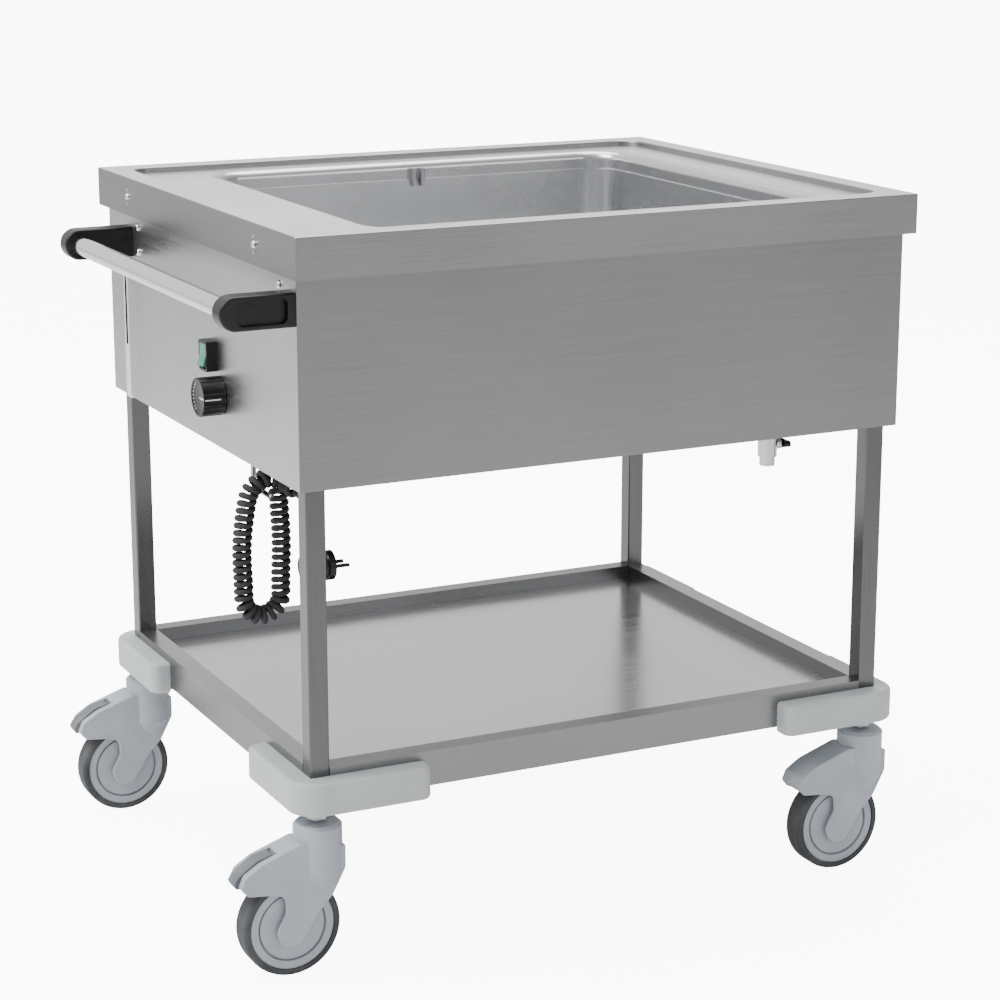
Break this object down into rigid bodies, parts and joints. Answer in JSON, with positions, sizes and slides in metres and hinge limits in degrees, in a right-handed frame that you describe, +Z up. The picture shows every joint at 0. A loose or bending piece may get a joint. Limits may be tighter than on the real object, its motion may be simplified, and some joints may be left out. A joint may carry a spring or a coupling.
{
  "type": "steam table trolley",
  "caption": "Heated basin for food pans set in a stainless cabinet on a square tube frame, with a lower shelf, push handle, control panel, curly mains cord and swivel casters.",
  "frame": {"origin": "on the floor, under the middle of the whole outline, the push handle included and the cord left out", "axes": "+Z up. X along the unit, the push handle and controls at -X. The operator's long side with the drain faces -Y."},
  "size_m": [0.9309, 0.715, 0.9],
  "materials": {
    "stainless": "brushed",
    "polished_stainless": "polished",
    "bumper_plastic": "matte light grey",
    "caster_plastic": "satin blue grey",
    "tread": "matte",
    "zinc": "zinc plated",
    "black_plastic": "matte",
    "sight_glass": "clear",
    "switch_green": "translucent green",
    "terminal_plastic": "ivory",
    "heater_sheath": "heat darkened",
    "plated_brass": "nickel plated",
    "cord_rubber": "matte"
  },
  "bodies": {
    "trolley": {"back_panel": "stainless", "basin": "polished_stainless", "bottom_cover": "stainless", "bumper_back_left": "bumper_plastic", "bumper_back_right": "bumper_plastic", "bumper_front_left": "bumper_plastic", "bumper_front_right": "bumper_plastic", "cable_gland": "black_plastic", "caster_stems": "zinc", "control_panel": "stainless", "cord_ends": "cord_rubber", "cord_hook": "stainless", "curly_cord": "cord_rubber", "divider_lugs": "polished_stainless", "drain_pipe": "stainless", "drain_valve": "plated_brass", "end_panel": "stainless", "end_screws": "polished_stainless", "front_panel": "stainless", "gauge_caps": "black_plastic", "gauge_channel": "polished_stainless", "gauge_glass": "sight_glass", "handle_brackets": "black_plastic", "heating_element": "heater_sheath", "leg_back_left": "stainless", "leg_back_right": "stainless", "leg_front_left": "stainless", "leg_front_right": "stainless", "plug": "cord_rubber", "plug_clip": "black_plastic", "push_handle": "polished_stainless", "shelf_rails_long": "stainless", "shelf_rails_short": "stainless", "shelf_tray": "stainless", "switch_bezel": "black_plastic", "terminal_block": "terminal_plastic", "thermostat_body": "black_plastic", "worktop": "stainless"},
    "caster_front_left": {"caster_housing_front_left": "caster_plastic", "wheel_axle_front_left": "zinc"},
    "wheel_front_left": {"wheel_centre_front_left": "caster_plastic", "wheel_tread_front_left": "tread"},
    "pedal_front_left": {"brake_pedal_front_left": "caster_plastic"},
    "caster_back_left": {"caster_housing_back_left": "caster_plastic", "wheel_axle_back_left": "zinc"},
    "wheel_back_left": {"wheel_centre_back_left": "caster_plastic", "wheel_tread_back_left": "tread"},
    "pedal_back_left": {"brake_pedal_back_left": "caster_plastic"},
    "caster_front_right": {"caster_housing_front_right": "caster_plastic", "wheel_axle_front_right": "zinc"},
    "wheel_front_right": {"wheel_centre_front_right": "caster_plastic", "wheel_tread_front_right": "tread"},
    "caster_back_right": {"caster_housing_back_right": "caster_plastic", "wheel_axle_back_right": "zinc"},
    "wheel_back_right": {"wheel_centre_back_right": "caster_plastic", "wheel_tread_back_right": "tread"},
    "rocker": {"switch_rocker": "switch_green"},
    "knob": {"thermostat_knob": "black_plastic", "thermostat_spindle": "zinc"},
    "drain_lever": {"drain_lever": "black_plastic"}
  },
  "joints": [
    {"name": "swivel_front_left", "type": "hinge", "parent": "trolley", "child": "caster_front_left", "pos_m": [-0.35, -0.314, 0.17], "axis": [0, 0, 1], "continuous": true},
    {"name": "roll_front_left", "type": "hinge", "parent": "caster_front_left", "child": "wheel_front_left", "pos_m": [-0.39, -0.314, 0.0625], "axis": [0, 1, 0], "continuous": true},
    {"name": "brake_front_left", "type": "hinge", "parent": "caster_front_left", "child": "pedal_front_left", "pos_m": [-0.418, -0.314, 0.142], "axis": [0, -1, 0], "range_deg": [0, 10]},
    {"name": "swivel_back_left", "type": "hinge", "parent": "trolley", "child": "caster_back_left", "pos_m": [-0.35, 0.314, 0.17], "axis": [0, 0, 1], "continuous": true},
    {"name": "roll_back_left", "type": "hinge", "parent": "caster_back_left", "child": "wheel_back_left", "pos_m": [-0.39, 0.314, 0.0625], "axis": [0, 1, 0], "continuous": true},
    {"name": "brake_back_left", "type": "hinge", "parent": "caster_back_left", "child": "pedal_back_left", "pos_m": [-0.418, 0.314, 0.142], "axis": [0, -1, 0], "range_deg": [0, 10]},
    {"name": "swivel_front_right", "type": "hinge", "parent": "trolley", "child": "caster_front_right", "pos_m": [0.427, -0.314, 0.17], "axis": [0, 0, 1], "continuous": true},
    {"name": "roll_front_right", "type": "hinge", "parent": "caster_front_right", "child": "wheel_front_right", "pos_m": [0.387, -0.314, 0.0625], "axis": [0, 1, 0], "continuous": true},
    {"name": "swivel_back_right", "type": "hinge", "parent": "trolley", "child": "caster_back_right", "pos_m": [0.427, 0.314, 0.17], "axis": [0, 0, 1], "continuous": true},
    {"name": "roll_back_right", "type": "hinge", "parent": "caster_back_right", "child": "wheel_back_right", "pos_m": [0.387, 0.314, 0.0625], "axis": [0, 1, 0], "continuous": true},
    {"name": "switch_tilt", "type": "hinge", "parent": "trolley", "child": "rocker", "pos_m": [-0.3795, -0.058, 0.714], "axis": [0, -1, 0], "range_deg": [0, 18]},
    {"name": "thermostat_turn", "type": "hinge", "parent": "trolley", "child": "knob", "pos_m": [-0.39, -0.08, 0.667], "axis": [1, 0, 0], "range_deg": [0, 270]},
    {"name": "drain_turn", "type": "hinge", "parent": "trolley", "child": "drain_lever", "pos_m": [0.326, -0.256, 0.572], "axis": [1, 0, 0], "range_deg": [0, 90]}
  ]
}
